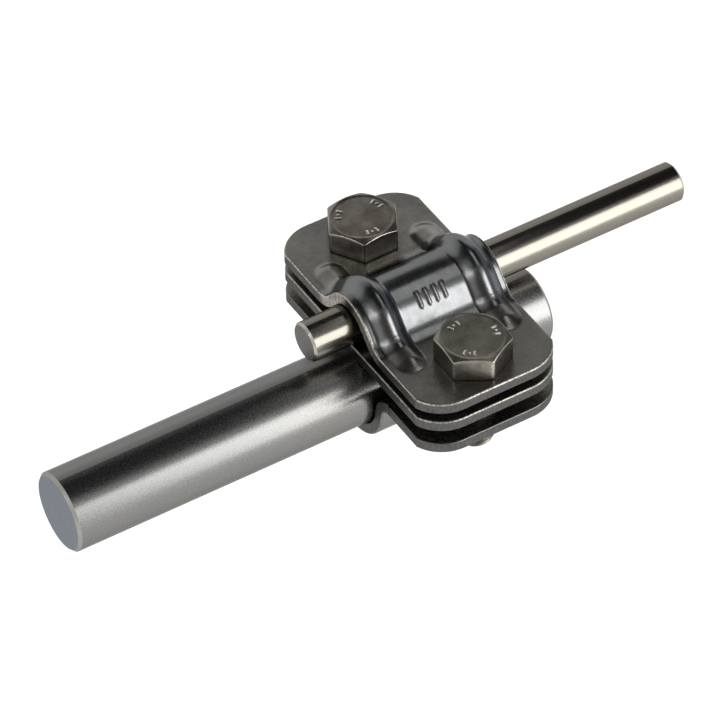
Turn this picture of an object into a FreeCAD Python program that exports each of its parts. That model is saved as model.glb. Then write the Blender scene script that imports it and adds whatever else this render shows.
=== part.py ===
import FreeCAD, Part
import Sketcher
import math
import os

# Test joint clamp: three pressed plates and two hexagon bolts that hold a thick
# round rod and a thin round rod side by side, one above and one below the middle plate.
# Frame: X along the rods, Y from bolt to bolt, Z up, origin on the thick rod's axis.
# Lengths are in millimetres and angles in degrees.

V = FreeCAD.Vector

# Sketcher's numbers for the axes and for the points of a line or arc
V_AXIS, H_AXIS = range(-2, 0)
START, END, CENTRE = range(1, 4)

doc = FreeCAD.newDocument("test_joint_clamp")

SIZES = [
    ("earth_rod_dia", 16.0, "thick rod diameter"),
    ("earth_rod_back", 78.2, "thick rod, clamp centre to its long end"),
    ("earth_rod_front", 25.6, "thick rod, clamp centre to its short end"),
    ("earth_rod_chamfer", 0.6, "chamfer on the thick rod's ends"),
    ("conductor_dia", 8.0, "thin rod diameter"),
    ("conductor_back", 24.1, "thin rod, clamp centre to its short end"),
    ("conductor_front", 58.6, "thin rod, clamp centre to its long end"),
    ("conductor_chamfer", 0.45, "chamfer on the thin rod's ends"),
    ("seat_clearance", 0.05, "gap kept between faces that bear on each other"),
    ("sheet_gauge", 2.3, "thickness of the plates"),
    ("plate_width", 30.0, "plate along the rods"),
    ("bolt_beside_rod", 11.5, "thick rod's side to a bolt's axis"),
    ("end_margin", 8.9, "bolt's axis to the plate's end"),
    ("end_taper", 5.0, "plate's end beyond the kinks in its long edges"),
    ("corner_setback", 7.5, "long edge to where the plate's straight end begins"),
    ("clearance_hole", 9.0, "hole for a bolt in the top and middle plates"),
    ("upper_gap", 2.15, "opening between the middle and top plates"),
    ("lower_gap", 3.3, "opening between the bottom and middle plates"),
    ("top_flank_angle", 48.0, "slope of the top saddle's sides"),
    ("top_crest_radius", 5.4, "inside radius of the top saddle's crest"),
    ("top_crest_rise", 6.5, "top plate, inside face of flange to inside of crest"),
    ("top_fillet_radius", 5.0, "outside radius at the foot of the top saddle"),
    ("bottom_flank_angle", 77.0, "slope of the bottom saddle's sides"),
    ("bottom_crest_play", 0.6, "bottom saddle's inside radius over the rod's"),
    ("bottom_fillet_radius", 2.4, "outside radius at the foot of the bottom saddle"),
    ("bead_inset", 4.8, "stiffening bead from the plate's long edge"),
    ("bead_stop", 5.2, "bead's end centre before the bolt's axis"),
    ("bead_bend_radius", 8.0, "radius of the bead's line at the foot of the top saddle"),
    ("bead_radius", 2.3, "radius of the bead's back"),
    ("bead_sink", 0.4, "centre of the bead's back below the sheet's outer face"),
    ("bead_foot_radius", 1.0, "fillet between the bead and the sheet"),
    ("bead_foot_dip", 0.03, "how far the fillet runs under the sheet's outer face"),
    ("bead_root", 1.0, "how deep the bead's body is rooted in the sheet"),
    ("hollow_radius", 1.2, "radius of the hollow pressed up into a bead"),
    ("hollow_lift", 0.7, "centre of that hollow above the sheet's inner face"),
    ("bolt_dia", 8.0, "bolt shank diameter"),
    ("bolt_length", 20.0, "bolt from under its head to its tip"),
    ("bolt_tip_chamfer", 0.5, "chamfer at the bolt's tip"),
    ("thread_clearance", 0.1, "play round the shank in its drawn collar"),
    ("head_flats", 13.0, "bolt head across its flats"),
    ("head_height", 5.3, "bolt head height"),
    ("head_top_dia", 12.65, "flat circle on the bolt head's top"),
    ("head_slope", 30.0, "slope of the head's corner chamfer"),
    ("front_head_turn", -31.6, "turn of the front bolt's head"),
    ("rear_head_turn", 1.4, "turn of the rear bolt's head"),
    ("collar_dia", 10.4, "outside of the drawn collars under the bottom plate"),
    ("collar_height", 2.2, "collar below the bottom plate"),
    ("collar_rounding", 0.4, "rounding on the collar's rim"),
]

sizes = doc.addObject("Spreadsheet::Sheet", "Sizes")
for row, (alias, number, meaning) in enumerate(SIZES, start=1):
    sizes.set(f"A{row}", str(number))
    sizes.setAlias(f"A{row}", alias)
    sizes.set(f"B{row}", meaning)
doc.recompute()

# Places across the rods that follow from the thick rod, and the beads' place along it
BOLT_Y = "(Sizes.earth_rod_dia / 2 + Sizes.bolt_beside_rod)"
HALF_LENGTH = f"({BOLT_Y} + Sizes.end_margin)"
HALF_WIDTH = "(Sizes.plate_width / 2)"
BEAD_X = f"({HALF_WIDTH} - Sizes.bead_inset)"
BEAD_REACH = f"({BOLT_Y} - Sizes.bead_stop)"

# Heights that follow from the stack: rod, middle plate, thin rod, top plate, bolt head
MIDDLE_SEAT = "(Sizes.earth_rod_dia / 2 + Sizes.seat_clearance)"
MIDDLE_TOP = f"({MIDDLE_SEAT} + Sizes.sheet_gauge)"
CONDUCTOR_AXIS = f"({MIDDLE_TOP} + Sizes.seat_clearance + Sizes.conductor_dia / 2)"
TOP_SEAT = f"({MIDDLE_TOP} + Sizes.upper_gap)"
HEAD_SEAT = f"({TOP_SEAT} + Sizes.sheet_gauge + Sizes.seat_clearance)"
BOTTOM_SEAT = f"({MIDDLE_SEAT} - Sizes.lower_gap)"

# The thin rod lies against the far flank of the top saddle
TOP_CREST_CENTRE = f"({TOP_SEAT} + Sizes.top_crest_rise - Sizes.top_crest_radius)"
FLANK_PLAY = "(Sizes.top_crest_radius - Sizes.conductor_dia / 2 - Sizes.seat_clearance)"
CONDUCTOR_SHIFT = (
    f"(({FLANK_PLAY} - ({CONDUCTOR_AXIS} - {TOP_CREST_CENTRE})"
    " * cos(Sizes.top_flank_angle * 1 deg)) / sin(Sizes.top_flank_angle * 1 deg))"
)

# The bottom saddle reaches from its flange to just under the thick rod
BOTTOM_CREST_RISE = f"({BOTTOM_SEAT} + Sizes.earth_rod_dia / 2 + Sizes.seat_clearance)"
BOTTOM_CREST_RADIUS = "(Sizes.earth_rod_dia / 2 + Sizes.bottom_crest_play)"


def value(expression):
    """The present value of an expression in the sheet's names."""
    return float(sizes.evalExpression(expression.replace("Sizes.", "")))


def origin_plane(body, role):
    """One of the body's own origin planes."""
    return next(f for f in body.Origin.OriginFeatures if f.Role == role)


def new_body(label):
    """A body named for the piece that it models."""
    body = doc.addObject("PartDesign::Body", label)
    body.Label = label
    return body


def attach(feature, body, role, offset):
    """Put a feature on an origin plane, moved by three expressions in that plane's own frame."""
    feature.AttachmentSupport = [(origin_plane(body, role), "")]
    feature.MapMode = "FlatFace"
    for axis, expression in zip("xyz", offset):
        if expression:
            feature.setExpression(f"AttachmentOffset.Base.{axis}", expression)


def new_sketch(body, name, role, offset=(None, None, None)):
    """A sketch on one of the body's origin planes."""
    sketch = body.newObject("Sketcher::SketchObject", name)
    attach(sketch, body, role, offset)
    return sketch


def line(sketch, start, end):
    return sketch.addGeometry(Part.LineSegment(V(*start, 0), V(*end, 0)), False)


def arc(sketch, centre, radius, first, last):
    """An arc drawn anticlockwise between two angles in radians."""
    circle = Part.Circle(V(*centre, 0), V(0, 0, 1), radius)
    return sketch.addGeometry(Part.ArcOfCircle(circle, first, last), False)


def tie(sketch, kind, *places):
    return sketch.addConstraint(Sketcher.Constraint(kind, *places))


def dimension(sketch, kind, expression, *places):
    """A dimension that follows an expression in the sheet's names."""
    number = value(expression)
    if kind == "Angle":
        number = math.radians(number)
        expression = f"({expression}) * 1 deg"
    index = sketch.addConstraint(Sketcher.Constraint(kind, *places, number))
    sketch.setExpression(f"Constraints[{index}]", expression)


def add_circle(sketch, radius, x="0", y="0"):
    """A circle whose centre and radius follow expressions."""
    circle = Part.Circle(V(value(x), value(y), 0), V(0, 0, 1), value(radius))
    ring = sketch.addGeometry(circle, False)
    dimension(sketch, "Radius", radius, ring)
    if x == "0" and y == "0":
        tie(sketch, "Coincident", ring, CENTRE, H_AXIS, START)
    elif x == "0":
        tie(sketch, "PointOnObject", ring, CENTRE, V_AXIS)
        dimension(sketch, "DistanceY", y, ring, CENTRE)
    else:
        dimension(sketch, "DistanceX", x, ring, CENTRE)
        dimension(sketch, "DistanceY", y, ring, CENTRE)


def pad(body, sketch, name, length, symmetric=False):
    feature = body.newObject("PartDesign::Pad", name)
    feature.Profile = sketch
    feature.setExpression("Length", length)
    if symmetric:
        feature.SideType = "Symmetric"
    doc.recompute()
    return feature


def cut_through(body, sketch, name):
    """A pocket that goes right through, both ways from its sketch."""
    feature = body.newObject("PartDesign::Pocket", name)
    feature.Profile = sketch
    feature.Type = "ThroughAll"
    feature.Midplane = True
    doc.recompute()
    return feature


def rims_at(feature, height):
    """Names of the feature's closed edges that lie level at a height given as an expression."""
    level = value(height)

    def is_rim(edge):
        if edge.Degenerated or not edge.isClosed():
            return False
        return all(abs(point.z - level) < 1e-6 for point in edge.discretize(5))

    edges = enumerate(feature.Shape.Edges, start=1)
    return [f"Edge{i}" for i, edge in edges if is_rim(edge)]


def mirror(body, name, originals, roles):
    """The features repeated across one or two of the body's origin planes."""
    if len(roles) == 1:
        copies = body.newObject("PartDesign::Mirrored", name)
        copies.Originals = originals
        copies.MirrorPlane = (origin_plane(body, roles[0]), [""])
    else:
        copies = body.newObject("PartDesign::MultiTransform", name)
        copies.Originals = originals
        steps = []
        for role in roles:
            step = body.newObject("PartDesign::Mirrored", f"{name}_{role}")
            step.MirrorPlane = (origin_plane(body, role), [""])
            steps.append(step)
        copies.Transformations = steps
    body.Tip = copies
    doc.recompute()


# Plate outline: straight long edges that kink into round-cornered ends, and two bolt holes
def trim_plate(body, hole_radius):
    """Cut the corners and the bolt holes of a plate that lies along Y."""
    half_kink = f"{HALF_LENGTH} - Sizes.end_taper"
    half_end = f"{HALF_WIDTH} - Sizes.corner_setback"
    kink = (value(HALF_WIDTH), value(half_kink))
    tangent = (value(half_end), value(HALF_LENGTH))
    rise = tangent[1] - kink[1]
    run = kink[0] - tangent[0]
    radius = (run ** 2 + rise ** 2) / (2 * rise)
    centre = (tangent[0], tangent[1] - radius)
    outside = (kink[0] + radius, tangent[1] + radius)

    sketch = new_sketch(body, "corner", "XY_Plane")
    first = math.atan2(kink[1] - centre[1], kink[0] - centre[0])
    round_off = arc(sketch, centre, radius, first, math.pi / 2)
    up = line(sketch, tangent, (tangent[0], outside[1]))
    across = line(sketch, (tangent[0], outside[1]), outside)
    down = line(sketch, outside, (outside[0], kink[1]))
    back = line(sketch, (outside[0], kink[1]), kink)
    tie(sketch, "Coincident", round_off, END, up, START)
    tie(sketch, "Coincident", up, END, across, START)
    tie(sketch, "Coincident", across, END, down, START)
    tie(sketch, "Coincident", down, END, back, START)
    tie(sketch, "Coincident", back, END, round_off, START)
    tie(sketch, "Vertical", up)
    tie(sketch, "Horizontal", across)
    tie(sketch, "Vertical", down)
    tie(sketch, "Horizontal", back)
    tie(sketch, "PointOnObject", round_off, CENTRE, up)
    dimension(sketch, "DistanceX", HALF_WIDTH, round_off, START)
    dimension(sketch, "DistanceY", half_kink, round_off, START)
    dimension(sketch, "DistanceX", half_end, round_off, END)
    dimension(sketch, "DistanceY", HALF_LENGTH, round_off, END)
    dimension(sketch, "DistanceX", "Sizes.plate_width", across, END)
    dimension(sketch, "DistanceY", f"2 * {HALF_LENGTH}", across, END)
    corner = cut_through(body, sketch, "corner_cut")
    mirror(body, "corner_cuts", [corner], ["YZ_Plane", "XZ_Plane"])

    holes = new_sketch(body, "holes", "XY_Plane")
    add_circle(holes, hole_radius, y=BOLT_Y)
    add_circle(holes, hole_radius, y=f"-{BOLT_Y}")
    cut_through(body, holes, "hole_cuts")


# Line of a pressed plate seen along the rods: flat, foot, flank, crest, and the same down again
def saddle_line(sketch, saddle, lift, reach):
    """Draw that line lift above the sheet's inner face; returns its two end flats."""
    angle, crest, rise, foot = saddle
    crest_radius = f"{crest} + {lift}"
    foot_radius = f"{foot} + Sizes.sheet_gauge - {lift}"
    crest_height = f"{rise} - {crest}"

    slope = math.radians(value(angle))
    sin, cos = math.sin(slope), math.cos(slope)
    top, bend = value(crest_radius), value(foot_radius)
    height, level, half = value(crest_height), value(lift), value(reach)
    foot_z = level + bend
    foot_y = (top + bend - (foot_z - height) * cos) / sin
    quarter = math.pi / 2

    flat_in = line(sketch, (-half, level), (-foot_y, level))
    foot_in = arc(sketch, (-foot_y, foot_z), bend, -quarter, slope - quarter)
    flank_in = line(sketch, (-foot_y + bend * sin, foot_z - bend * cos), (-top * sin, height + top * cos))
    crown = arc(sketch, (0, height), top, quarter - slope, quarter + slope)
    flank_out = line(sketch, (top * sin, height + top * cos), (foot_y - bend * sin, foot_z - bend * cos))
    foot_out = arc(sketch, (foot_y, foot_z), bend, -quarter - slope, -quarter)
    flat_out = line(sketch, (foot_y, level), (half, level))

    tie(sketch, "Tangent", flat_in, END, foot_in, START)
    tie(sketch, "Tangent", foot_in, END, flank_in, START)
    tie(sketch, "Tangent", flank_in, END, crown, END)
    tie(sketch, "Tangent", crown, START, flank_out, START)
    tie(sketch, "Tangent", flank_out, END, foot_out, START)
    tie(sketch, "Tangent", foot_out, END, flat_out, START)
    tie(sketch, "Horizontal", flat_in)
    tie(sketch, "Horizontal", flat_out)
    tie(sketch, "PointOnObject", crown, CENTRE, V_AXIS)
    tie(sketch, "Equal", foot_in, foot_out)
    tie(sketch, "Symmetric", flat_in, START, flat_out, END, V_AXIS)
    dimension(sketch, "Radius", crest_radius, crown)
    dimension(sketch, "Radius", foot_radius, foot_out)
    dimension(sketch, "DistanceY", crest_height, crown, CENTRE)
    dimension(sketch, "Angle", angle, flank_in)
    dimension(sketch, "Angle", f"-{angle}", flank_out)
    dimension(sketch, "DistanceX", reach, flat_out, END)
    if lift == "0":
        tie(sketch, "PointOnObject", flat_out, END, H_AXIS)
    else:
        dimension(sketch, "DistanceY", lift, flat_out, END)
    return flat_in, flat_out


# Section of a bead: round back, concave feet, and a root inside the sheet
def bead_section(body, name, whole):
    """Draw the section at a bead's end; half of it with its axis if it isn't whole."""
    place = (BEAD_X, None, BEAD_REACH)
    sketch = new_sketch(body, name, "XZ_Plane", place)
    centre_z = "Sizes.sheet_gauge - Sizes.bead_sink"
    foot_z = "Sizes.sheet_gauge - Sizes.bead_foot_dip"
    root_z = "Sizes.sheet_gauge - Sizes.bead_root"
    back, foot = value("Sizes.bead_radius"), value("Sizes.bead_foot_radius")
    middle, low, root = value(centre_z), value(foot_z), value(root_z)
    drop = low + foot - middle
    out = math.sqrt((back + foot) ** 2 - drop ** 2)
    lean = math.atan2(drop, out)
    quarter = math.pi / 2

    sides = []
    for way in ((1, -1) if whole else (1,)):
        if way > 0:
            crown = arc(sketch, (0, middle), back, lean, quarter)
            low_foot = arc(sketch, (out, low + foot), foot, math.pi + lean, 3 * quarter)
            apex, waist, foot_waist, foot_low = END, START, START, END
        else:
            crown = arc(sketch, (0, middle), back, quarter, math.pi - lean)
            low_foot = arc(sketch, (-out, low + foot), foot, -quarter, -lean)
            apex, waist, foot_waist, foot_low = START, END, END, START
        side = line(sketch, (way * out, low), (way * out, root))
        base = line(sketch, (way * out, root), (0, root))
        tie(sketch, "Tangent", crown, waist, low_foot, foot_waist)
        tie(sketch, "Coincident", low_foot, foot_low, side, START)
        tie(sketch, "Coincident", side, END, base, START)
        tie(sketch, "Vertical", side)
        tie(sketch, "Horizontal", base)
        tie(sketch, "PointOnObject", low_foot, CENTRE, side)
        tie(sketch, "PointOnObject", crown, CENTRE, V_AXIS)
        dimension(sketch, "Radius", "Sizes.bead_radius", crown)
        dimension(sketch, "Radius", "Sizes.bead_foot_radius", low_foot)
        if not sides:
            tie(sketch, "PointOnObject", crown, apex, V_AXIS)
            tie(sketch, "PointOnObject", base, END, V_AXIS)
            dimension(sketch, "DistanceY", centre_z, crown, CENTRE)
            dimension(sketch, "DistanceY", foot_z, low_foot, foot_low)
            dimension(sketch, "DistanceY", root_z, base, END)
        sides.append((crown, apex, low_foot, foot_low, base))
    if whole:
        right, left = sides
        tie(sketch, "Coincident", right[0], right[1], left[0], left[1])
        tie(sketch, "Coincident", right[4], END, left[4], END)
        tie(sketch, "Horizontal", right[2], right[3], left[2], left[3])
    else:
        crown, apex, low_foot, foot_low, base = sides[0]
        axis = line(sketch, (0, root), (0, middle + back))
        tie(sketch, "Coincident", base, END, axis, START)
        tie(sketch, "Coincident", axis, END, crown, apex)
    doc.recompute()
    return sketch


# Pressed sheet of a clamping plate, bent into a saddle over its rod
def saddle_plate(label, saddle):
    """Build the sheet with its flange's inner face on XY and its saddle rising along Z."""
    body = new_body(label)
    profile = new_sketch(body, "profile", "YZ_Plane")
    inner = saddle_line(profile, saddle, "0", HALF_LENGTH)
    outer = saddle_line(profile, saddle, "Sizes.sheet_gauge", HALF_LENGTH)
    half, gauge = value(HALF_LENGTH), value("Sizes.sheet_gauge")
    for way, lower, upper, point in ((-1, inner[0], outer[0], START), (1, inner[1], outer[1], END)):
        edge = line(profile, (way * half, 0), (way * half, gauge))
        tie(profile, "Coincident", edge, START, lower, point)
        tie(profile, "Coincident", edge, END, upper, point)
    pad(body, profile, "pressed_sheet", "Sizes.plate_width", symmetric=True)
    return body


# Stiffening beads: two hollow ribs that cross the saddle and end in domes on the flanges
def add_beads(body, saddle):
    """Raise the beads along the saddle's outer face and press their hollows into its inside."""
    angle, crest, rise, _ = saddle
    bead_line = (angle, crest, rise, "Sizes.bead_bend_radius")
    bead_path = new_sketch(body, "bead_path", "YZ_Plane", (None, None, BEAD_X))
    saddle_line(bead_path, bead_line, "Sizes.sheet_gauge", BEAD_REACH)
    doc.recompute()
    bead = body.newObject("PartDesign::AdditivePipe", "bead")
    bead.Profile = bead_section(body, "bead_section", True)
    bead.Spine = (bead_path, [])
    doc.recompute()
    mirror(body, "beads", [bead], ["YZ_Plane"])

    dome_section = bead_section(body, "dome_section", False)
    dome = body.newObject("PartDesign::Revolution", "dome")
    dome.Profile = dome_section
    dome.ReferenceAxis = (dome_section, ["V_Axis"])
    doc.recompute()
    mirror(body, "domes", [dome], ["YZ_Plane", "XZ_Plane"])

    hollow_section = new_sketch(body, "hollow_section", "XZ_Plane", (BEAD_X, None, BEAD_REACH))
    add_circle(hollow_section, "Sizes.hollow_radius", y="Sizes.hollow_lift")
    hollow = body.newObject("PartDesign::SubtractivePipe", "hollow")
    hollow.Profile = hollow_section
    hollow.Spine = (bead_path, [])
    doc.recompute()
    mirror(body, "hollows", [hollow], ["YZ_Plane"])

    hollow_end = body.newObject("PartDesign::SubtractiveSphere", "hollow_end")
    attach(hollow_end, body, "XY_Plane", (BEAD_X, BEAD_REACH, "Sizes.hollow_lift"))
    hollow_end.setExpression("Radius", "Sizes.hollow_radius")
    doc.recompute()
    mirror(body, "hollow_ends", [hollow_end], ["YZ_Plane", "XZ_Plane"])


# Top plate: V-shaped saddle over the thin rod with two beads across it, and clearance holes
TOP_SADDLE = (
    "Sizes.top_flank_angle",
    "Sizes.top_crest_radius",
    "Sizes.top_crest_rise",
    "Sizes.top_fillet_radius",
)
top_plate = saddle_plate("top_plate", TOP_SADDLE)
add_beads(top_plate, TOP_SADDLE)
trim_plate(top_plate, "Sizes.clearance_hole / 2")
top_plate.setExpression("Placement.Base.z", TOP_SEAT)

# Bottom plate: deep saddle under the thick rod, with drawn collars for the bolts
BOTTOM_SADDLE = (
    "Sizes.bottom_flank_angle",
    BOTTOM_CREST_RADIUS,
    BOTTOM_CREST_RISE,
    "Sizes.bottom_fillet_radius",
)
THREAD_RADIUS = "Sizes.bolt_dia / 2 + Sizes.thread_clearance"
bottom_plate = saddle_plate("bottom_plate", BOTTOM_SADDLE)
collar_rings = new_sketch(bottom_plate, "collar_rings", "XY_Plane", (None, None, "Sizes.sheet_gauge / 2"))
add_circle(collar_rings, "Sizes.collar_dia / 2", y=BOLT_Y)
add_circle(collar_rings, "Sizes.collar_dia / 2", y=f"-{BOLT_Y}")
collars = pad(bottom_plate, collar_rings, "collars", "Sizes.sheet_gauge / 2 + Sizes.collar_height")
rounding = bottom_plate.newObject("PartDesign::Fillet", "collar_rounding")
rounding.Base = (collars, rims_at(collars, "Sizes.sheet_gauge + Sizes.collar_height"))
rounding.setExpression("Radius", "Sizes.collar_rounding")
doc.recompute()
trim_plate(bottom_plate, THREAD_RADIUS)
bottom_plate.Placement = FreeCAD.Placement(V(0, 0, 0), FreeCAD.Rotation(V(1, 0, 0), 180))
bottom_plate.setExpression("Placement.Base.z", BOTTOM_SEAT)

# Middle plate: flat sheet between the rods, with clearance holes
middle_plate = new_body("middle_plate")
blank = new_sketch(middle_plate, "blank", "XY_Plane")
half_x, half_y = value(HALF_WIDTH), value(HALF_LENGTH)
corners = [(-half_x, -half_y), (half_x, -half_y), (half_x, half_y), (-half_x, half_y)]
edges = [line(blank, corners[i], corners[(i + 1) % 4]) for i in range(4)]
for i in range(4):
    tie(blank, "Coincident", edges[i], END, edges[(i + 1) % 4], START)
tie(blank, "Horizontal", edges[0])
tie(blank, "Horizontal", edges[2])
tie(blank, "Vertical", edges[1])
tie(blank, "Vertical", edges[3])
tie(blank, "Symmetric", edges[0], START, edges[1], END, H_AXIS, START)
dimension(blank, "DistanceX", "Sizes.plate_width", edges[0], START, edges[0], END)
dimension(blank, "DistanceY", f"2 * {HALF_LENGTH}", edges[1], START, edges[1], END)
pad(middle_plate, blank, "flat_sheet", "Sizes.sheet_gauge")
trim_plate(middle_plate, "Sizes.clearance_hole / 2")
middle_plate.setExpression("Placement.Base.z", MIDDLE_SEAT)


# Hexagon bolts: head with its corners chamfered on top, plain shank with a chamfered tip
def hexagon_bolt(label, y, turn):
    """Build a bolt with the underside of its head on XY and its shank down to its tip."""
    body = new_body(label)
    outline = new_sketch(body, "hexagon", "XY_Plane")
    flats = value("Sizes.head_flats")
    reach = flats / math.sqrt(3)
    points = [
        (reach * math.cos(math.radians(60 * i)), reach * math.sin(math.radians(60 * i)))
        for i in range(6)
    ]
    sides = [line(outline, points[i], points[(i + 1) % 6]) for i in range(6)]
    for i in range(6):
        tie(outline, "Coincident", sides[i], END, sides[(i + 1) % 6], START)
    for i in range(1, 6):
        tie(outline, "Equal", sides[0], sides[i])
    tie(outline, "PointOnObject", sides[0], START, H_AXIS)
    tie(outline, "Symmetric", sides[0], START, sides[3], START, H_AXIS, START)
    tie(outline, "Horizontal", sides[1])
    dimension(outline, "DistanceY", "Sizes.head_flats / 2", sides[1], START)
    pad(body, outline, "head", "Sizes.head_height")

    bevel = new_sketch(body, "bevel", "XZ_Plane")
    inner, top, slope = (
        value("Sizes.head_top_dia / 2"),
        value("Sizes.head_height"),
        math.radians(value("Sizes.head_slope")),
    )
    outside = flats
    fall = (outside - inner) * math.tan(slope)
    slant = line(bevel, (inner, top), (outside, top - fall))
    rise = line(bevel, (outside, top - fall), (outside, top))
    close = line(bevel, (outside, top), (inner, top))
    tie(bevel, "Coincident", slant, END, rise, START)
    tie(bevel, "Coincident", rise, END, close, START)
    tie(bevel, "Coincident", close, END, slant, START)
    tie(bevel, "Vertical", rise)
    tie(bevel, "Horizontal", close)
    dimension(bevel, "DistanceX", "Sizes.head_top_dia / 2", slant, START)
    dimension(bevel, "DistanceY", "Sizes.head_height", slant, START)
    dimension(bevel, "DistanceX", "Sizes.head_flats", slant, END)
    dimension(bevel, "Angle", "-Sizes.head_slope", slant)
    groove = body.newObject("PartDesign::Groove", "head_chamfer")
    groove.Profile = bevel
    groove.ReferenceAxis = (bevel, ["V_Axis"])
    doc.recompute()

    ring = new_sketch(body, "shank_ring", "XY_Plane")
    add_circle(ring, "Sizes.bolt_dia / 2")
    shank = pad(body, ring, "shank", "Sizes.bolt_length")
    shank.Reversed = True
    doc.recompute()

    tip = body.newObject("PartDesign::Chamfer", "tip")
    tip.Base = (shank, rims_at(shank, "-Sizes.bolt_length"))
    tip.setExpression("Size", "Sizes.bolt_tip_chamfer")
    doc.recompute()
    body.Placement = FreeCAD.Placement(V(0, 0, 0), FreeCAD.Rotation(V(0, 0, 1), value(turn)))
    body.setExpression("Placement.Base.y", y)
    body.setExpression("Placement.Base.z", HEAD_SEAT)
    return body


front_bolt = hexagon_bolt("front_bolt", f"-{BOLT_Y}", "Sizes.front_head_turn")
rear_bolt = hexagon_bolt("rear_bolt", BOLT_Y, "Sizes.rear_head_turn")


# Round rods: turned bars with chamfered ends
def round_rod(label, dia, back, front, chamfer):
    """Build a rod on the X axis from -back to front."""
    body = new_body(label)
    section = new_sketch(body, "half_section", "XZ_Plane")
    radius, low, high, bevel = value(dia) / 2, -value(back), value(front), value(chamfer)
    points = [
        (low, 0),
        (high, 0),
        (high, radius - bevel),
        (high - bevel, radius),
        (low + bevel, radius),
        (low, radius - bevel),
    ]
    sides = [line(section, points[i], points[(i + 1) % 6]) for i in range(6)]
    for i in range(6):
        tie(section, "Coincident", sides[i], END, sides[(i + 1) % 6], START)
    tie(section, "PointOnObject", sides[0], START, H_AXIS)
    tie(section, "PointOnObject", sides[0], END, H_AXIS)
    tie(section, "Vertical", sides[1])
    tie(section, "Horizontal", sides[3])
    tie(section, "Vertical", sides[5])
    dimension(section, "DistanceX", f"-{back}", sides[0], START)
    dimension(section, "DistanceX", front, sides[0], END)
    dimension(section, "DistanceY", f"{dia} / 2", sides[3], START)
    dimension(section, "DistanceX", chamfer, sides[2], END, sides[2], START)
    dimension(section, "DistanceY", chamfer, sides[2], START, sides[2], END)
    dimension(section, "DistanceX", chamfer, sides[4], END, sides[4], START)
    dimension(section, "DistanceY", chamfer, sides[4], END, sides[4], START)
    bar = body.newObject("PartDesign::Revolution", "bar")
    bar.Profile = section
    bar.ReferenceAxis = (section, ["H_Axis"])
    doc.recompute()
    return body


earth_rod = round_rod(
    "earth_rod",
    "Sizes.earth_rod_dia",
    "Sizes.earth_rod_back",
    "Sizes.earth_rod_front",
    "Sizes.earth_rod_chamfer",
)
conductor_rod = round_rod(
    "conductor_rod",
    "Sizes.conductor_dia",
    "Sizes.conductor_back",
    "Sizes.conductor_front",
    "Sizes.conductor_chamfer",
)
conductor_rod.setExpression("Placement.Base.y", CONDUCTOR_SHIFT)
conductor_rod.setExpression("Placement.Base.z", CONDUCTOR_AXIS)
doc.recompute()

# Every object must be sound before its piece is written
for item in doc.Objects:
    if "Invalid" in item.State or "Error" in item.State:
        raise RuntimeError(f"{item.Label} is {item.State}")

os.makedirs("parts", exist_ok=True)
for piece in (top_plate, middle_plate, bottom_plate, front_bolt, rear_bolt, earth_rod, conductor_rod):
    if piece.Shape.isNull() or not piece.Shape.isValid() or len(piece.Shape.Solids) != 1:
        raise RuntimeError(f"{piece.Label} is not one sound solid")
    piece.Shape.exportStep(f"parts/{piece.Label}.step")
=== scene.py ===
import math

import bpy
import numpy as np
from mathutils import Matrix, Vector


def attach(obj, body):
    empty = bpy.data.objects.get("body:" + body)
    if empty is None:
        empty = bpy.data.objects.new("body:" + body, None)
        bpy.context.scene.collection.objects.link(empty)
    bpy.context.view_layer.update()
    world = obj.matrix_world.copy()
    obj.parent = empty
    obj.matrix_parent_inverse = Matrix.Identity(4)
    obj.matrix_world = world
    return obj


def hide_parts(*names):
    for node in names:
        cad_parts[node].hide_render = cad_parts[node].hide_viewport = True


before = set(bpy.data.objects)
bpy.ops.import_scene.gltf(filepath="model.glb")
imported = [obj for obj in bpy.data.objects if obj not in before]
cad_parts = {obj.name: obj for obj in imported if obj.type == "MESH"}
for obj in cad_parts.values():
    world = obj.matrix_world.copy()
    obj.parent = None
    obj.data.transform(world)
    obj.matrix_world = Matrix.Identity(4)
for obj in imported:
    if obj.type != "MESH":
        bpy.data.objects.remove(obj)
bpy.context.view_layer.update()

# Thick rod: a 16 mm earth rod of drawn stainless steel, cut off square, faced and lightly
# chamfered. The bottom plate's saddle holds it. Sizes in this file are in millimetres.
MM = 0.001


def colour(code):
    """A written sRGB colour such as 8a8782 as the linear colour that a shader takes."""
    parts = [int(code[i:i + 2], 16) / 255 for i in (0, 2, 4)]
    return tuple(p / 12.92 if p <= 0.04045 else ((p + 0.055) / 1.055) ** 2.4 for p in parts) + (1.0,)


def add(tree, kind, inputs=(), out=0, **settings):
    """Add a node, set its properties, fill its inputs with numbers or links, and return an output."""
    node = tree.nodes.new("ShaderNode" + kind)
    for key, setting in settings.items():
        setattr(node, key, setting)
    for key, source in dict(inputs).items():
        if isinstance(source, bpy.types.NodeSocket):
            tree.links.new(source, node.inputs[key])
        else:
            node.inputs[key].default_value = source
    return node.outputs[out]


def material(name, **inputs):
    """A new material with one shader, its inputs filled by name with spaces as underscores."""
    made = bpy.data.materials.new(name)
    made.use_nodes = True
    tree = made.node_tree
    tree.nodes.clear()
    output = tree.nodes.new("ShaderNodeOutputMaterial")
    tree.links.new(add(tree, "BsdfPrincipled"), output.inputs["Surface"])
    shader = tree.nodes["Principled BSDF"]
    for key, setting in inputs.items():
        shader.inputs[key.replace("_", " ")].default_value = setting
    return made, tree, shader


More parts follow.
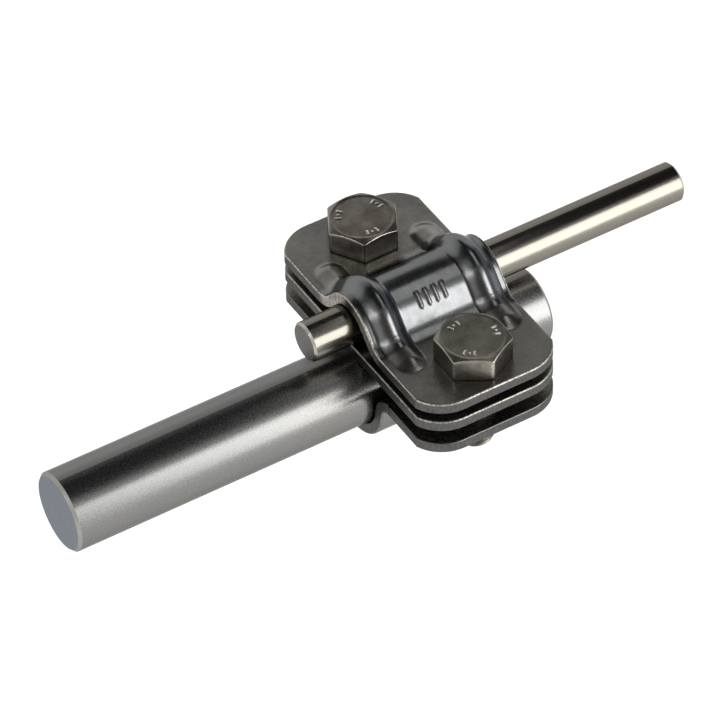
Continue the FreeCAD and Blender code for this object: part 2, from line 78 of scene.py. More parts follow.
def drawn_steel(name, axis, skin, cloudy, faced, ring, satin, grain):
    """Drawn bar steel: a cloudy, finely grained skin with lines along X, and ends faced on a lathe.

    The ends and their chamfers are told from the skin by how far the normal leans towards X, and
    the lathe's rings run round the rod's axis, given as y and z. It shows as a soft satin band
    along the rod, with flatter, bluer ends inside a paler ring.
    """
    made, tree, shader = material(name, Metallic=1.0, Specular_Tint=colour("c4c4c4"))
    place = add(tree, "TexCoord", out="Object")
    lean = add(tree, "SeparateXYZ", {0: add(tree, "NewGeometry", out="Normal")}, out="X")
    lean = add(tree, "Math", {0: lean}, operation="ABSOLUTE")
    end = add(tree, "MapRange", {"Value": lean, "From Min": 0.85, "From Max": 0.98})
    chamfer = add(tree, "MapRange", {"Value": lean, "From Min": 0.3, "From Max": 0.6})
    chamfer = add(tree, "Math", {0: chamfer, 1: end}, operation="SUBTRACT", use_clamp=True)

    # Real drawing lines and lathe rings are a few hundredths of a millimetre wide. Here they are
    # 0.4 and 0.5 mm wide, so that they show.
    speckle = add(tree, "TexNoise", {"Vector": place, "Scale": 1 / (0.26 * MM), "Detail": 2.0,
                                     "Roughness": 0.7})
    cloud = add(tree, "TexNoise", {"Vector": place, "Scale": 1 / (18 * MM), "Detail": 3.0})
    drawn = add(tree, "Mapping", {"Vector": place, "Scale": (0.02, 1.0, 1.0)})
    lines = add(tree, "TexNoise", {"Vector": drawn, "Scale": 1 / (0.4 * MM), "Detail": 3.0,
                                   "Roughness": 0.6})
    mottle = add(tree, "TexNoise", {"Vector": place, "Scale": 1 / (0.9 * MM), "Detail": 4.0})
    centred = add(tree, "Mapping", {"Vector": place, "Location": (0.0, -axis[0] * MM, -axis[1] * MM)})
    rings = add(tree, "TexWave", {"Vector": centred, "Scale": 2 * math.pi / (20 * 0.5 * MM)}, out="Fac",
                wave_type="RINGS", rings_direction="X")

    patches = add(tree, "MapRange", {"Value": cloud, "From Min": 0.35, "From Max": 0.65, "To Max": 0.35})
    tone = add(tree, "Mix", {0: patches, 6: colour(skin), 7: colour(cloudy)}, out=2, data_type="RGBA")
    sparks = add(tree, "MapRange", {"Value": speckle, "From Min": 0.42, "From Max": 0.75, "To Max": 0.12})
    tone = add(tree, "Mix", {0: sparks, 6: tone, 7: colour("a3a29f")}, out=2, data_type="RGBA")
    stains = add(tree, "MapRange", {"Value": mottle, "From Min": 0.35, "From Max": 0.65, "To Max": 0.25})
    cut_face = add(tree, "Mix", {0: stains, 6: colour(faced), 7: colour("666a71")}, out=2, data_type="RGBA")
    tone = add(tree, "Mix", {0: end, 6: tone, 7: cut_face}, out=2, data_type="RGBA")
    tone = add(tree, "Mix", {0: chamfer, 6: tone, 7: colour(ring)}, out=2, data_type="RGBA")
    tree.links.new(tone, shader.inputs["Base Color"])

    rough = add(tree, "MapRange", {"Value": speckle, "From Min": 0.3, "From Max": 0.7,
                                   "To Min": satin - 0.05, "To Max": satin + 0.07})
    duller_ends = 0.12
    rough = add(tree, "Math", {0: end, 1: duller_ends, 2: rough}, operation="MULTIPLY_ADD")
    tree.links.new(rough, shader.inputs["Roughness"])

    relief = add(tree, "Bump", {"Height": speckle, "Distance": grain * MM})
    relief = add(tree, "Bump", {"Height": lines, "Distance": grain * MM, "Normal": relief})
    rings = add(tree, "Math", {0: rings, 1: end}, operation="MULTIPLY")
    lathe_groove = 0.025
    relief = add(tree, "Bump", {"Height": rings, "Distance": lathe_groove * MM, "Normal": relief})
    tree.links.new(relief, shader.inputs["Normal"])
    return made


earth_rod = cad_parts["earth_rod"]
earth_rod.data.materials.clear()
earth_rod.data.materials.append(drawn_steel("drawn_stainless_bar", (0.0, 0.0), skin="7f7e7b",
                                            cloudy="76787b", faced="858a92", ring="989690",
                                            satin=0.27, grain=0.004))

# Bottom plate: 2.3 mm stainless sheet, blanked, then pressed into a deep round saddle that hangs
# under the thick rod. Two holes are drawn down into collars, which hold the bolts' threads.
GAUGE, HALF_WIDTH, HALF_LENGTH, BOLT_Y = 2.3, 15.0, 28.4, 19.5
BOTTOM_PLATE_UPPER_FACE = 4.75
# The corner's arc starts from the long edge at the taper and runs smoothly into the straight end.
END_TAPER, CORNER_SETBACK = 5.0, 7.5
CORNER_RADIUS = (CORNER_SETBACK ** 2 + END_TAPER ** 2) / (2 * END_TAPER)
CORNER_X, CORNER_Y = HALF_WIDTH - CORNER_SETBACK, HALF_LENGTH - CORNER_RADIUS
# The punch rolls one rim of the sheet and leaves a small sharp step at the other.
ROLL, BURR = 0.34, 0.12
# The mesh: half sizes of the patch round a bolt's hole, and the longest steps between points.
CORE, PATCH, STEP, LONG_STEP = 6.0, 6.0, 0.25, 0.4


def spaced(start, end, step):
    """Even places from start to just before end, at most a step apart."""
    return np.linspace(start, end, max(1, math.ceil(abs(end - start) / step - 1e-9)), endpoint=False)


def flange_places(foot_y):
    """Places along a flange from the saddle's foot to the sheet's end.

    Some lie level with the square patch round the bolt. Past the bolt they follow the end's
    round corner: y = its centre + radius * sin(turn).
    """
    low, high, kink = BOLT_Y - PATCH, BOLT_Y + PATCH, HALF_LENGTH - END_TAPER
    radius = CORNER_RADIUS - ROLL
    turns = spaced(math.asin((high - CORNER_Y) / radius), math.pi / 2, 0.09)
    return np.concatenate([spaced(foot_y, low, LONG_STEP), spaced(low, kink, LONG_STEP),
                           spaced(kink, high, LONG_STEP), CORNER_Y + radius * np.sin(turns),
                           [CORNER_Y + radius]])


def saddle_line(angle, crest, rise, foot):
    """The bent sheet's profile: rows of y and z on its inner face, and the normal's y and z.

    It is flat, foot arc, flank and crest arc, and the same down again. With t the angle of the
    normal from the vertical, an arc is (centre + radius * sin t, centre + radius * cos t); each
    is tangent to its neighbours, the foot's centre is outside the sheet and the crest's inside.
    """
    slope, bend, centre_z = math.radians(angle), foot + GAUGE, rise - crest
    foot_y = (crest + bend - (bend - centre_z) * math.cos(slope)) / math.sin(slope)
    flat = flange_places(foot_y)[::-1]
    turn = spaced(0, slope, STEP / bend)[1:]
    back = spaced(slope, 0, STEP / crest)
    low = np.array([foot_y - bend * math.sin(slope), bend - bend * math.cos(slope)])
    high = np.array([crest * math.sin(slope), centre_z + crest * math.cos(slope)])
    flank = low + (high - low) * spaced(0, 1, STEP / np.linalg.norm(high - low))[:, None]
    y = np.concatenate([flat, foot_y - bend * np.sin(turn), flank[:, 0], crest * np.sin(back)])
    z = np.concatenate([0 * flat, bend - bend * np.cos(turn), flank[:, 1], centre_z + crest * np.cos(back)])
    lean = np.concatenate([0 * flat, turn, slope + 0 * flank[:, 0], back])
    half = np.stack([y, z, np.sin(lean), np.cos(lean)], axis=1)
    return np.vstack([half * (-1, 1, -1, 1), (0, rise, 0, 1), half[::-1]])


def half_width(y):
    """Half the width of the sheet's flat face at y: straight sides, then the end's round corners."""
    corner = np.maximum((CORNER_RADIUS - ROLL) ** 2 - (np.abs(y) - CORNER_Y) ** 2, 0)
    return np.where(np.abs(y) > HALF_LENGTH - END_TAPER, CORNER_X + np.sqrt(corner), HALF_WIDTH - ROLL)


def outward(x, y):
    """Unit vectors in the sheet's plane that lead straight out of its outline at edge points.

    They point away from the centre at a round corner, along y at a straight end and along x
    at a side.
    """
    ahead = np.stack([np.abs(x) - CORNER_X, np.abs(y) - CORNER_Y])
    corner = (np.abs(y) > HALF_LENGTH - END_TAPER) & (np.abs(x) > CORNER_X - 1e-6)
    at_end = np.abs(y) > HALF_LENGTH - ROLL - 1e-6
    straight = np.stack([np.where(at_end, 0.0, 1.0), np.where(at_end, 1.0, 0.0)])
    return np.where(corner, ahead / np.linalg.norm(ahead, axis=0), straight) * np.sign([x, y])


def round_trip(top, end, start, stop):
    """Rows and columns of the points round a block of a grid."""
    wide, long = stop - start, end - top
    rows = [np.full(wide, top), np.arange(top, end), np.full(wide, end), np.arange(end, top, -1)]
    columns = [np.arange(start, stop), np.full(long, stop), np.arange(stop, start, -1), np.full(long, start)]
    return np.concatenate(rows), np.concatenate(columns)


def between(loops):
    """Quads that join each closed loop of points to the next one."""
    loops = np.array(loops)
    ahead = np.roll(loops, -1, axis=1)
    return np.stack([loops[:-1], ahead[:-1], ahead[1:], loops[1:]], axis=-1).reshape(-1, 4)


def smooth_piece(name, points, quads, attribute, amounts, made):
    """A smooth object from points in millimetres, with one number per point kept as an attribute."""
    mesh = bpy.data.meshes.new(name)
    mesh.from_pydata((np.asarray(points) * MM).tolist(), [], [face.tolist() for face in quads])
    mesh.polygons.foreach_set("use_smooth", [True] * len(mesh.polygons))
    mesh.attributes.new(attribute, "FLOAT", "POINT").data.foreach_set("value", amounts)
    mesh.materials.append(made)
    piece = bpy.data.objects.new(name, mesh)
    bpy.context.scene.collection.objects.link(piece)
    return piece


def pressed_plate(name, made, line, seat, flip, hole, relief, rim_highlight, flank_highlight):
    """A sheet of even gauge bent along a line, with bolt holes and rolled, sheared edges.

    A point = the line's point + its normal * height in the sheet, seat above the rod's axis and
    turned over where flip is -1. Relief gives for x and y how far the outer and the inner face
    are raised, and the painted highlight on the outer face. Hole is the bolt hole's rim, as
    radius and height from the outer face to the inner one. The attribute "cut" is 0 on a face,
    1 on a sheared edge and up to 2 where a highlight is painted on the rim.
    """
    side = np.append(spaced(CORE, HALF_WIDTH - ROLL, STEP), HALF_WIDTH - ROLL)
    columns = np.concatenate([-side[::-1], spaced(-CORE, CORE, STEP)[1:], side])
    left, right = len(side) - 1, len(columns) - len(side)
    along = line[:, 0]
    stretch = (half_width(along) - CORE) / (HALF_WIDTH - ROLL - CORE)
    beyond = np.maximum(np.abs(columns) - CORE, 0) * np.sign(columns)
    across = columns + beyond * (stretch[:, None] - 1)
    points, cut_and_highlight = [], []

    def put(x, stations, height, aside=(0.0, 0.0), edge_and_highlight=0.0):
        """Add points over stations, moved in the sheet's plane by aside, and return their numbers."""
        y, z, normal_y, normal_z = np.moveaxis(stations, -1, 0)
        y, z = y + normal_y * height + normal_z * aside[1], z + normal_z * height - normal_y * aside[1]
        first = sum(map(len, points))
        places = np.broadcast_arrays(x + aside[0], y * flip, seat + z * flip)
        points.append(np.stack(places, -1).reshape(-1, 3))
        cut_and_highlight.append(np.broadcast_to(edge_and_highlight, places[0].shape).ravel())
        return np.arange(first, first + len(points[-1]))

    raised, pressed_in, edge_and_highlight = relief(across, along[:, None])
    outer = put(across, line[:, None], GAUGE + raised, edge_and_highlight=edge_and_highlight).reshape(across.shape)
    inner = put(across, line[:, None], pressed_in).reshape(across.shape)
    kept = np.ones((len(line) - 1, len(columns) - 1), bool)
    quads = []

    # Each bolt's hole: loops from the patch's square outline in to the rim, and down through it.
    for bolt_y in (-BOLT_Y, BOLT_Y):
        top, end = (np.abs(along - bolt_y - step).argmin() for step in (-PATCH, PATCH))
        kept[top:end, left:right] = False
        i, j = round_trip(top, end, left, right)
        spots = np.stack([columns[j], along[i] - bolt_y])
        distance = np.linalg.norm(spots, axis=0)
        loops = [outer[i, j]]
        for radius, height in [(None, hole[0][1]), *hole, (None, hole[-1][1])]:
            reach = radius or (distance + hole[0][0]) / 2
            loops.append(put(0.0, np.array([bolt_y, 0.0, 0.0, 1.0]), height, spots / distance * reach))
        quads.append(between(loops + [inner[i, j]]))

    # The sheet's outer edge: its rolled rim, then the sheared side down to the burr.
    i, j = round_trip(0, len(line) - 1, 0, len(columns) - 1)
    way = outward(across[i, j], along[i])
    full_flank_lean = 0.4
    flank = np.minimum(np.abs(line[i, 2]) / full_flank_lean, 1.0)
    loops = [outer[i, j]]
    # The rolled rim takes a painted highlight. The sheared side takes the sheared edge's tone, with a
    # painted highlight added where it runs down the saddle's flanks.
    for turn in (0.4, 0.8, 1.2):
        height = GAUGE - ROLL + ROLL * math.cos(turn)
        loops.append(put(across[i, j], line[i], height, ROLL * math.sin(turn) * way, rim_highlight))
    for height in (GAUGE - ROLL, GAUGE - 1.7 * ROLL, GAUGE / 2, 2 * BURR, BURR):
        loops.append(put(across[i, j], line[i], height, ROLL * way, 1.0 + flank_highlight * flank))
    loops.append(put(across[i, j], line[i], 0.0, (ROLL - BURR) * way, 0.2))
    quads.append(between(np.array(loops + [inner[i, j]])[:, ::-1]))

    for numbers, order in ((outer, 1), (inner, -1)):
        cells = np.stack([numbers[:-1, :-1], numbers[:-1, 1:], numbers[1:, 1:], numbers[1:, :-1]], axis=-1)
        quads.append(cells[kept][:, ::order])
    return smooth_piece(name, np.vstack(points), np.vstack(quads), "cut", np.concatenate(cut_and_highlight), made)


def pressed_steel(name, face, shade, saddle, edge, torn, bright, satin):
    """Stainless sheet as it leaves the press: mottled flats, a smoother saddle, grainy sheared edges.

    It shows as dark satin with soft clouds. The saddle is glossier, where the press has burnished
    it, and darker and cooler in painted shade that dims its highlight, and fine bright lines are
    painted on the rims as highlights.
    """
    made, tree, shader = material(name, Metallic=1.0, Specular_Tint=colour("c4c4c4"))
    place = add(tree, "TexCoord", out="Object")
    cut = add(tree, "Attribute", out="Fac", attribute_name="cut")

    # Real press grain and torn lines are under 0.1 mm wide. Here they are 0.24 and 0.4 mm wide,
    # so that they show.
    cloud = add(tree, "TexNoise", {"Vector": place, "Scale": 1 / (8 * MM), "Detail": 4.0})
    mottle = add(tree, "TexNoise", {"Vector": place, "Scale": 1 / (1.4 * MM), "Detail": 4.0,
                                    "Roughness": 0.65})
    speckle = add(tree, "TexNoise", {"Vector": place, "Scale": 1 / (0.24 * MM), "Detail": 2.0,
                                     "Roughness": 0.7})
    upright = add(tree, "Mapping", {"Vector": place, "Scale": (1.0, 1.0, 0.4)})
    tears = add(tree, "TexNoise", {"Vector": upright, "Scale": 1 / (0.4 * MM), "Detail": 3.0,
                                   "Roughness": 0.7})

    clouds = add(tree, "MapRange", {"Value": cloud, "From Min": 0.35, "From Max": 0.65, "To Max": 0.6})
    mottles = add(tree, "MapRange", {"Value": mottle, "From Min": 0.4, "From Max": 0.7, "To Max": 0.4})
    blend = add(tree, "Math", {0: clouds, 1: mottles})
    tone = add(tree, "Mix", {0: blend, 6: colour(face), 7: colour(shade)}, out=2, data_type="RGBA")
    # The saddle reaches 9 mm to each side of the rod, and its tone and gloss are gone at 12.5 mm.
    # Its darker, cooler tone is painted shade that dims the highlight on it.
    aside = add(tree, "Math", {0: add(tree, "SeparateXYZ", {0: place}, out="Y")}, operation="ABSOLUTE")
    on_saddle = add(tree, "MapRange", {"Value": aside, "From Min": 12.5 * MM, "From Max": 9 * MM,
                                       "To Max": 0.8})
    tone = add(tree, "Mix", {0: on_saddle, 6: tone, 7: colour(saddle)}, out=2, data_type="RGBA")
    strips = add(tree, "MapRange", {"Value": tears, "From Min": 0.35, "From Max": 0.65})
    sheared = add(tree, "Mix", {0: strips, 6: colour(edge), 7: colour(torn)}, out=2, data_type="RGBA")
    # Painted highlight: where the cut attribute passes 1.2, the rim takes a bright colour in broken dashes.
    dashes = add(tree, "MapRange", {"Value": tears, "From Min": 0.45, "From Max": 0.6})
    edge_and_highlight = add(tree, "Mix", {0: dashes, 6: colour(bright), 7: colour("85827c")}, out=2, data_type="RGBA")
    at_edge = add(tree, "MapRange", {"Value": cut, "From Min": 0.5, "From Max": 0.9})
    highlit_rim = add(tree, "MapRange", {"Value": cut, "From Min": 1.2, "From Max": 1.8})
    tone = add(tree, "Mix", {0: at_edge, 6: tone, 7: sheared}, out=2, data_type="RGBA")
    tone = add(tree, "Mix", {0: highlit_rim, 6: tone, 7: edge_and_highlight}, out=2, data_type="RGBA")
    tree.links.new(tone, shader.inputs["Base Color"])

    rough = add(tree, "MapRange", {"Value": mottle, "From Min": 0.3, "From Max": 0.7,
                                   "To Min": satin - 0.03, "To Max": satin + 0.05})
    glossier_saddle, duller_edge = -0.055, 0.13
    rough = add(tree, "Math", {0: on_saddle, 1: glossier_saddle, 2: rough}, operation="MULTIPLY_ADD")
    rough = add(tree, "Math", {0: cut, 1: duller_edge, 2: rough}, operation="MULTIPLY_ADD")
    tree.links.new(rough, shader.inputs["Roughness"])
    dents = add(tree, "Bump", {"Height": mottle, "Distance": 0.0025 * MM})
    dents = add(tree, "Bump", {"Height": speckle, "Distance": 0.002 * MM, "Normal": dents})
    tree.links.new(dents, shader.inputs["Normal"])
    return made


def unmarked(x, y):
    """No relief and no painted highlight, for every x and y."""
    return 0.0, 0.0, 0.0 * (x + y)


sheet = pressed_steel("pressed_stainless_sheet", face="92908b", shade="76736d", saddle="6f7173",
                      edge="646463", torn="4e4d4b", bright="c4bfb3", satin=0.27)
# The collar's rim, as radius and height from the sheet's upper face down.
COLLAR = [(5.9, 2.3), (5.5, 2.36), (5.25, 2.6), (5.2, 2.9), (5.2, 4.1), (5.08, 4.38), (4.8, 4.5),
          (4.4, 4.5), (4.16, 4.4), (4.1, 4.2), (4.1, 0.2), (4.2, 0.04), (4.6, 0.0)]
deep_saddle = saddle_line(angle=77.0, crest=8.6, rise=12.8, foot=2.4)
bottom_plate = pressed_plate("bottom_plate_detailed", sheet, deep_saddle, BOTTOM_PLATE_UPPER_FACE,
                             -1, COLLAR, unmarked, rim_highlight=1.4, flank_highlight=0.0)
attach(bottom_plate, "bottom_plate")
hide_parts("bottom_plate")

# Middle plate: the same sheet and outline, left flat, with plain punched holes.
# It lies on the thick rod and carries the thin one.
MIDDLE_PLATE_LOWER_FACE = 8.05
PUNCHED_HOLE = [(4.9, 2.3), (4.62, 2.26), (4.5, 2.12), (4.5, 0.12), (4.58, 0.02), (4.9, 0.0)]
half_line = flange_places(LONG_STEP)[:, None] * (1, 0, 0, 0) + (0, 0, 0, 1)
flat_line = np.vstack([half_line[::-1] * (-1, 1, 1, 1), (0, 0, 0, 1), half_line])
middle_plate = pressed_plate("middle_plate_detailed", sheet, flat_line, MIDDLE_PLATE_LOWER_FACE, 1,
                             PUNCHED_HOLE, unmarked, rim_highlight=1.7, flank_highlight=0.0)
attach(middle_plate, "middle_plate")
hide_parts("middle_plate")

# Thin rod: an 8 mm round conductor of stainless wire, drawn brighter than the thick rod.
# It lies on the middle plate, under the top plate's saddle.
CONDUCTOR_AXIS = (1.1, 14.4)
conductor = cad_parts["conductor_rod"]
conductor.data.materials.clear()
conductor.data.materials.append(drawn_steel("bright_drawn_wire", CONDUCTOR_AXIS, skin="7c786f",
                                            cloudy="7d7b76", faced="74716e", ring="a8a59d",
                                            satin=0.2, grain=0.0018))

# Top plate: the same sheet pressed into a shallow saddle, with two beads across it that stiffen
# it and fade out on the flanges, and four plain bars raised on its front. The bolts clamp it.
TOP_PLATE_LOWER_FACE = 12.5
BEAD_X, BEAD_END, BEAD_REACH = HALF_WIDTH - 4.5, 14.0, 3.2
BEAD_RISE, BEAD_FADE, FADE_FROM = 1.8, 0.6, 7.0
RIM_X, RIM_HALF_LENGTH, RIM_DROOP = 13.2, 12.0, 0.28
BAR_PLACES, BAR_Y, BAR_RISE = (-2.7, -0.9, 0.9, 2.7), -3.6, 0.2


def bar_height(x, y, half_wide, half_long, soft):
    """A plain raised bar: 1 on its top, falling as (1 - (distance / soft) squared) to the 1.5."""
    beyond = np.hypot(np.maximum(np.abs(x) - half_wide, 0), np.maximum(np.abs(y) - half_long, 0))
    return np.maximum(1 - (beyond / soft) ** 2, 0) ** 1.5


def beads(x, y):
    """How far the beads raise the outer and the inner face: rounded ridges with domed ends.

    Height = rise * (1 - (distance / reach) squared) to the 1.45, with the distance from the
    bead's line, which ends before the bolt; the rise shrinks towards that end. The rim beside a
    bead droops a little, as the press draws it in.
    """
    rise = BEAD_RISE - BEAD_FADE * np.clip((np.abs(y) - FADE_FROM) / (BEAD_END - FADE_FROM), 0, 1)
    distance = np.hypot(np.abs(x) - BEAD_X, np.maximum(np.abs(y) - BEAD_END, 0))
    ridge = np.maximum(1 - (distance / BEAD_REACH) ** 2, 0) ** 1.45
    groove = np.maximum(1 - (distance / (BEAD_REACH - 1)) ** 2, 0) ** 1.45
    highlit_rim = np.maximum((np.abs(x) - RIM_X) / (HALF_WIDTH - RIM_X), 0)
    droop = RIM_DROOP * highlit_rim ** 2 * np.maximum(1 - (y / RIM_HALF_LENGTH) ** 2, 0)
    bars = sum(bar_height(x - place, y - BAR_Y, 0.12, 0.8, 0.3) for place in BAR_PLACES)
    # The third value paints a highlight on the bars' tops.
    return rise * ridge - droop + BAR_RISE * bars, 0.95 * rise * groove, 1.6 * bars


shallow_saddle = saddle_line(angle=48.0, crest=5.4, rise=6.5, foot=5.0)
top_plate = pressed_plate("top_plate_detailed", sheet, shallow_saddle, TOP_PLATE_LOWER_FACE, 1,
                          PUNCHED_HOLE, beads, rim_highlight=2.0, flank_highlight=0.65)
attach(top_plate, "top_plate")
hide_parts("top_plate")

# Bolts: cold-headed stainless M8 with hexagon heads, threaded up to the head, which go through
# the two upper plates and screw into the bottom plate's collars. Plain bars and dots on top.
BOLT_SEAT, SHANK, PITCH, THREAD_RADIUS, THREAD_DEPTH, TIP_CHAMFER = 14.85, 20.0, 1.25, 3.98, 0.66, 0.5
FLATS, HEAD, FLAT_TOP, CORNER, SUNK, MARK_RING = 13.0, 5.3, 6.325, 7.42, 0.12, 4.6
SPOKES, RINGS_PER_TURN = 192, 14
AROUND = np.arange(SPOKES) * 2 * math.pi / SPOKES
BAR, DOT = 0.5, 0.1
MARKS = [(place + shift, half_long) for place in (20, 140, 262)
         for shift, half_long in ((-12, BAR), (0, DOT), (12, BAR))]


def cold_headed_steel():
    """Steel formed cold and tumbled: dull and mottled, with faint upright lines on the flats.

    It shows as dark brownish grey, with highlights painted on its rims and marks as bright
    broken lines by an attribute.
    """
    made, tree, shader = material("cold_headed_stainless", Metallic=1.0, Specular_Tint=colour("c4c4c4"))
    place = add(tree, "TexCoord", out="Object")

    # The skin's real grain and forming lines are under 0.1 mm wide. Here they are 0.22 and
    # 0.5 mm wide, so that they show.
    cloud = add(tree, "TexNoise", {"Vector": place, "Scale": 1 / (3 * MM), "Detail": 4.0})
    mottle = add(tree, "TexNoise", {"Vector": place, "Scale": 1 / (0.67 * MM), "Detail": 4.0,
                                    "Roughness": 0.65})
    speckle = add(tree, "TexNoise", {"Vector": place, "Scale": 1 / (0.22 * MM), "Detail": 2.0,
                                     "Roughness": 0.7})
    upright = add(tree, "Mapping", {"Vector": place, "Scale": (1.0, 1.0, 0.12)})
    lines = add(tree, "TexNoise", {"Vector": upright, "Scale": 1 / (0.5 * MM), "Detail": 3.0,
                                   "Roughness": 0.6})
    clouds = add(tree, "MapRange", {"Value": cloud, "From Min": 0.35, "From Max": 0.65})
    tone = add(tree, "Mix", {0: clouds, 6: colour("8b877f"), 7: colour("6a665d")}, out=2, data_type="RGBA")
    streaks = add(tree, "MapRange", {"Value": lines, "From Min": 0.4, "From Max": 0.7, "To Max": 0.35})
    tone = add(tree, "Mix", {0: streaks, 6: tone, 7: colour("8a867d")}, out=2, data_type="RGBA")
    # Painted highlight: the pale colour efe9dc where the bolt's attribute asks for a glint, broken up by the
    # mottle.
    glint = add(tree, "MapRange", {"Value": mottle, "From Min": 0.35, "From Max": 0.6, "To Min": 0.3})
    glint = add(tree, "Math", {0: add(tree, "Attribute", out="Fac", attribute_name="glint"), 1: glint},
               operation="MULTIPLY")
    tone = add(tree, "Mix", {0: glint, 6: tone, 7: colour("efe9dc")}, out=2, data_type="RGBA")
    tree.links.new(tone, shader.inputs["Base Color"])
    rough = add(tree, "MapRange", {"Value": mottle, "From Min": 0.3, "From Max": 0.7,
                                   "To Min": 0.27, "To Max": 0.42})
    glossier_glint = -0.1
    rough = add(tree, "Math", {0: glint, 1: glossier_glint, 2: rough}, operation="MULTIPLY_ADD")
    tree.links.new(rough, shader.inputs["Roughness"])
    skin = add(tree, "Bump", {"Height": mottle, "Distance": 0.012 * MM})
    skin = add(tree, "Bump", {"Height": speckle, "Distance": 0.004 * MM, "Normal": skin})
    tree.links.new(skin, shader.inputs["Normal"])
    return made


def bolt_rings(turn):
    """A bolt as rings of radius and height round its axis, from its tip to its top, with their painted
    highlight.

    Thread: radius = crest - depth * triangle(height / pitch - angle / full turn), held inside the
    tip's chamfer. Head: a hexagon of radius = flats / 2 / cos(angle from the nearest flat), with
    rounded rims and a 30 degree chamfer down to its corners; marks stand on its sunk top.
    """
    rings = []

    def ring(radius, height, glint=0.0):
        rings.append(np.broadcast_arrays(radius, height, glint, AROUND)[:3])

    for height in np.linspace(-SHANK, -0.9, int(SHANK / PITCH * RINGS_PER_TURN) + 1):
        phase = np.mod(height / PITCH - AROUND / (2 * math.pi), 1.0)
        tooth = np.clip(np.abs(2 * phase - 1) * 1.25 - 0.125, 0.0, 1.0)
        thread = THREAD_RADIUS - THREAD_DEPTH * (1 - tooth)
        ring(np.minimum(thread, THREAD_RADIUS - TIP_CHAMFER + SHANK + height), height)
    for radius, height in ((3.55, -0.8), (3.75, -0.35), (4.1, -0.02)):
        ring(radius, height)

    from_corner = np.mod(AROUND - math.radians(turn) + math.pi / 6, math.pi / 3) - math.pi / 6
    from_flat = math.pi / 6 - np.abs(from_corner)
    hexagon = np.minimum(FLATS / 2 / np.cos(from_flat), CORNER)
    slope = math.tan(math.radians(30))
    rim = HEAD - np.maximum(hexagon - FLAT_TOP, 0.0) * slope
    # A highlight is painted on the corners from 7.2 mm out.
    corner = 0.4 * np.clip((hexagon - 7.2) / 0.2, 0.0, 1.0)
    # Underside of the head and its rounded lower rim.
    for inset, height in ((1.0, 0.0), (0.2, 0.0), (0.12, 0.10), (0.03, 0.22), (0.0, 0.40)):
        ring(hexagon - inset, height)
    # Flats, with a painted highlight at the corners, and the upper rim with its own painted highlight.
    for share in (0.25, 0.5, 0.75, 0.9):
        ring(hexagon, 0.40 + (rim - 0.65) * share, corner)
    for inset, drop, glint in ((0.0, 0.16, 0.0), (0.04, 0.06, 0.55), (0.10, 0.0, 0.55), (0.18, -0.03, 0.0)):
        ring(hexagon - inset, rim - drop, glint)
    # Chamfer, and the edge of the sunk top, with a faint painted highlight.
    for share in (0.35, 0.7):
        radius = hexagon - 0.14 - (hexagon - FLAT_TOP + 0.01) * share
        ring(radius, HEAD - np.maximum(radius - FLAT_TOP + 0.1, 0.0) * slope)
    for inset, drop, glint in ((0.2, 0.0, 0.12), (0.45, 0.05, 0.0), (0.7, SUNK, 0.0)):
        ring(FLAT_TOP - inset, HEAD - drop, glint)
    # The sunk top with its marks, which carry a painted highlight.
    for radius in np.linspace(FLAT_TOP - 0.8, 3.7, 18):
        raised = 0.0
        for place, half_long in MARKS:
            aside = np.mod(AROUND - math.radians(place + turn) + math.pi, 2 * math.pi) - math.pi
            raised = raised + bar_height(radius * aside, radius - MARK_RING, 0.06, half_long, 0.22)
        ring(radius, HEAD - SUNK * (1.0 - raised), 1.6 * raised)
    for radius in (3.0, 2.0, 0.8):
        ring(radius, HEAD - SUNK)
    return np.array(rings)


bolt_steel = cold_headed_steel()
for bolt, bolt_y, turn in (("front_bolt", -BOLT_Y, -31.6), ("rear_bolt", BOLT_Y, 1.4)):
    radius, height, glint = np.moveaxis(bolt_rings(turn), 1, 0)
    points = np.stack([radius * np.cos(AROUND), bolt_y + radius * np.sin(AROUND), BOLT_SEAT + height], -1)
    numbers = np.arange(radius.size).reshape(radius.shape)
    caps = [numbers[0, ::-1], numbers[-1]]
    piece = smooth_piece(bolt + "_detailed", points.reshape(-1, 3), [*between(numbers), *caps], "glint",
                         glint.ravel(), bolt_steel)
    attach(piece, bolt)
    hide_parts(bolt)

# Floor and light: a matt, pale floor in a white room, softboxes in front and to the left, and
# dark cards that only reflections show, which give the steel its dark bands. Here places and
# sizes are in metres.
FLOOR_LEVEL = -0.06
floor_mesh = bpy.data.meshes.new("floor")
floor_mesh.from_pydata([(-6, -6, 0), (6, -6, 0), (6, 6, 0), (-6, 6, 0)], [], [(0, 1, 2, 3)])
floor = bpy.data.objects.new("floor", floor_mesh)
floor.location.z = FLOOR_LEVEL
bpy.context.scene.collection.objects.link(floor)
pale, tree, shader = material("pale_floor", Base_Color=colour("e9e9e9"), Roughness=0.9,
                              Specular_IOR_Level=0.0, Emission_Color=(1.0, 1.0, 1.0, 1.0))


def seen(tree):
    """1 for rays from the camera and for rays that metal or glass sends on, and 0 for others."""
    rays = ("Is Camera Ray", "Is Glossy Ray", "Is Transmission Ray")
    ways = [add(tree, "LightPath", out=ray) for ray in rays]
    either = add(tree, "Math", {0: ways[0], 1: ways[1]}, operation="MAXIMUM")
    return add(tree, "Math", {0: either, 1: ways[2]}, operation="MAXIMUM")


floor_glow = 0.32
glow = add(tree, "Math", {0: seen(tree), 1: floor_glow}, operation="MULTIPLY")
tree.links.new(glow, shader.inputs["Emission Strength"])
floor_mesh.materials.append(pale)

world = bpy.data.worlds.new("studio")
bpy.context.scene.world = world
world.use_nodes = True
surroundings = world.node_tree.nodes["Background"]
surroundings.inputs["Color"].default_value = (1.0, 1.0, 1.0, 1.0)
room = world.node_tree
plain = add(room, "MapRange", {"Value": seen(room), "To Min": 0.75})

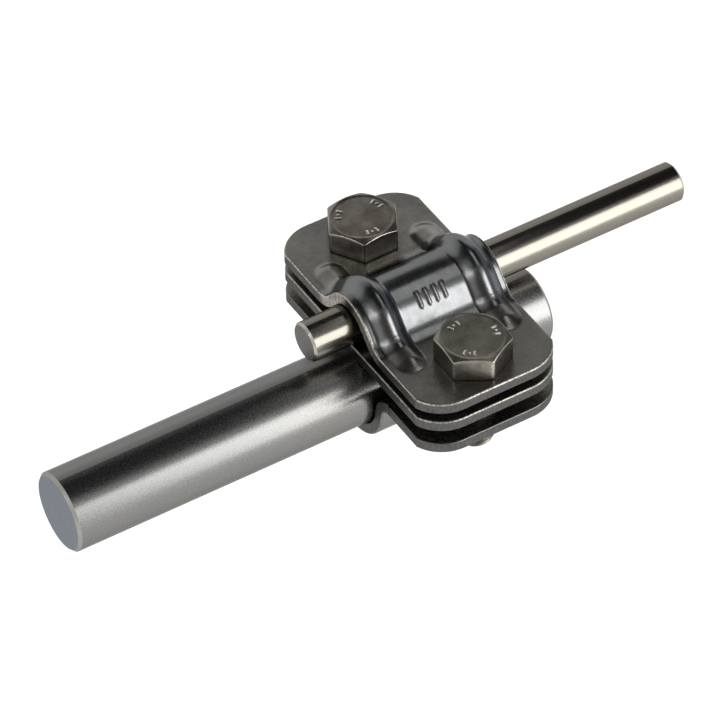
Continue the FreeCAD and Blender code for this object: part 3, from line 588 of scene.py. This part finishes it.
# What the steel mirrors of the room is white near the floor and dims upwards.
height = add(room, "SeparateXYZ", {0: add(room, "TexCoord", out="Generated")}, out="Z")
dimmed = add(room, "MapRange", {"Value": height, "From Min": 0.3, "From Max": 0.85,
                                "To Min": 1.0, "To Max": 0.35})
mirrored = add(room, "LightPath", out="Is Glossy Ray")
brightness = add(room, "Mix", {0: mirrored, 2: plain, 3: dimmed})
room.links.new(brightness, surroundings.inputs["Strength"])


def dark_card(name, centre, first, second, tone, glow):
    """A dark sheet with its corners at centre +- first half side +- second half side."""
    felt = material(name + "_felt", Base_Color=colour("0c0b0a"), Roughness=1.0, Specular_IOR_Level=0.0,
                    Emission_Color=colour(tone), Emission_Strength=glow)[0]
    mesh = bpy.data.meshes.new(name)
    mesh.from_pydata([Vector(centre) + Vector(first) * i + Vector(second) * j
                      for i, j in ((-1, -1), (1, -1), (1, 1), (-1, 1))], [], [(0, 1, 2, 3)])
    mesh.materials.append(felt)
    card = bpy.data.objects.new(name, mesh)
    bpy.context.scene.collection.objects.link(card)
    card.visible_camera = False
    card.visible_diffuse = False
    card.visible_shadow = False


def softbox(name, centre, aim, width, height, radiance):
    """An area lamp that faces a point. Its power is radiance * pi * width * height."""
    lamp = bpy.data.lights.new(name, "AREA")
    lamp.shape = "RECTANGLE"
    lamp.size, lamp.size_y = width, height
    lamp.energy = radiance * math.pi * width * height
    box = bpy.data.objects.new(name, lamp)
    box.location = centre
    box.visible_camera = False
    box.rotation_euler = (Vector(aim) - Vector(centre)).to_track_quat("-Z", "Y").to_euler()
    bpy.context.scene.collection.objects.link(box)


dark_card("dark_card_above", (0.15, 0.06, 0.45), (0.85, 0, 0), (0, 0.28, 0), "a0a8b4", 0.03)
dark_card("dark_card_right", (0.85, -0.35, 0.40), (0, 0.85, 0), (0, 0, 0.42), "e6eeff", 0.35)
dark_card("dark_card_front", (-0.55, -0.60, 0.55), (0.45, 0, 0), (0, 0, 0.40), "fff4e6", 0.15)
dark_card("dark_flag_near", (0.016, 0.030, 0.05), (0.008, 0, 0), (0, 0.010, 0), "a0a8b4", 0.03)
softbox("softbox_front", (0.255, -0.40, 0.15), (0.03, 0.0, 0.0), 0.32, 0.42, 4.5)
softbox("softbox_left", (-0.62, -0.11, 0.50), (0.0, 0.0, 0.0), 0.36, 0.30, 4.0)
softbox("panel_near", (0.037, -0.014, 0.112), (0.037, -0.014, 0.0), 0.032, 0.064, 1.3)

# Camera: a long lens from the front left, looking down at the clamp and rolled a little.
AZIMUTH, ELEVATION, ROLLED = (math.radians(angle) for angle in (-30.35, 43.87, 1.76))
STANDPOINT = Vector((-0.38266, -0.63156, 0.70850))
lens = bpy.data.cameras.new("camera")
lens.lens, lens.sensor_width, lens.clip_start = 270.27, 36.0, 0.01
camera = bpy.data.objects.new("camera", lens)
bpy.context.scene.collection.objects.link(camera)
back = Vector((math.sin(AZIMUTH) * math.cos(ELEVATION), -math.cos(AZIMUTH) * math.cos(ELEVATION),
               math.sin(ELEVATION)))
right = Vector((math.cos(AZIMUTH), math.sin(AZIMUTH), 0.0))
upward = back.cross(right)
across = right * math.cos(ROLLED) - upward * math.sin(ROLLED)
upward = right * math.sin(ROLLED) + upward * math.cos(ROLLED)
camera.matrix_world = Matrix.Translation(STANDPOINT) @ Matrix((across, upward, back)).transposed().to_4x4()
bpy.context.scene.camera = camera
bpy.context.scene.view_settings.view_transform = "Standard"
